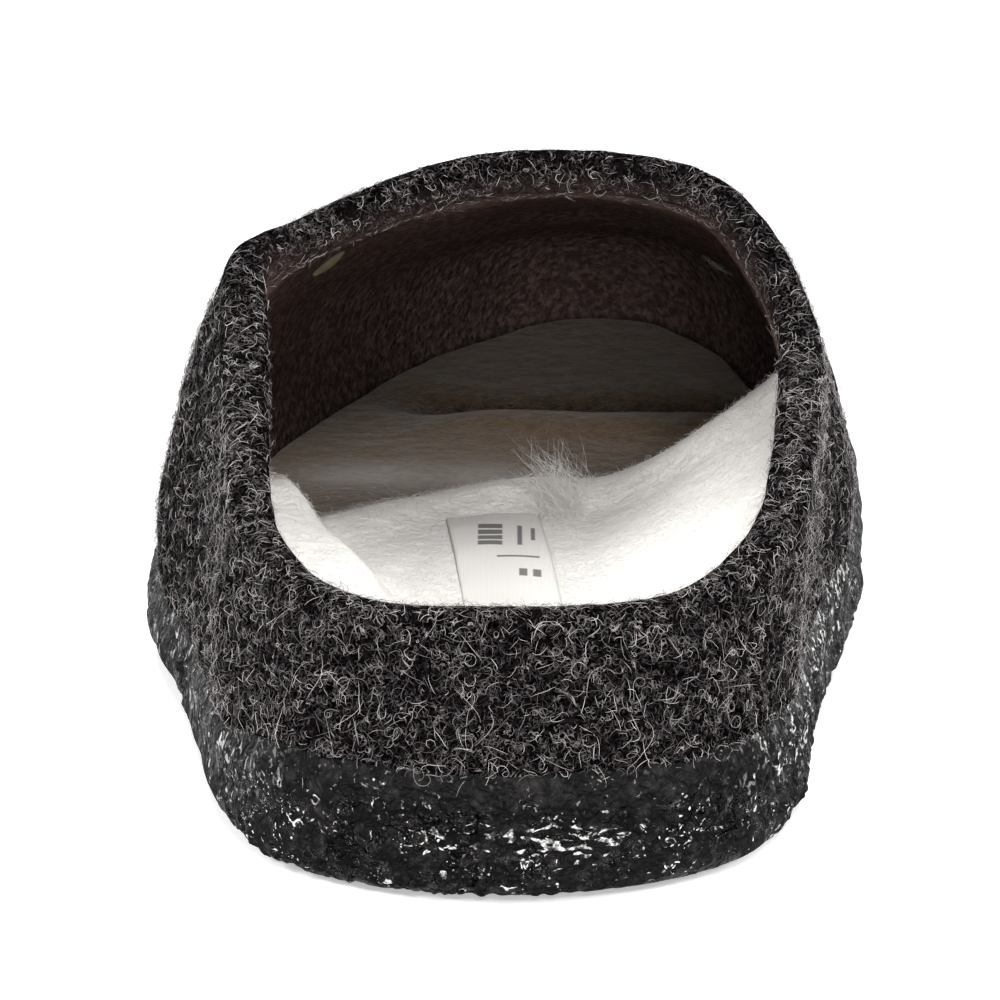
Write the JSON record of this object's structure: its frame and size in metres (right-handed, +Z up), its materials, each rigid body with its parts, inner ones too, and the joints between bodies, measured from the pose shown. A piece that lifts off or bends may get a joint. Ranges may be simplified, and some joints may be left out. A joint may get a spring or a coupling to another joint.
{
  "type": "clog slipper",
  "caption": "Left slip-on clog slipper: a thick felted wool upper with a raised throat and low heel, a dipped rubber sole and a loose wool insole.",
  "frame": {"origin": "middle of the slipper's box in plan, on the floor under the sole", "axes": "+Y from heel to toe, +X to the inner (big toe) side of the left foot, +Z up"},
  "size_m": [0.1088, 0.2526, 0.0743],
  "materials": {
    "upper": "boiled wool felt, charcoal with pale fibres",
    "sole": "dipped rubber, black, uneven and glossy",
    "insole": "brushed white wool",
    "label": "woven tape"
  },
  "bodies": {
    "root": {"upper": "upper", "sole": "sole", "insole": "insole", "label": "label"}
  },
  "joints": []
}
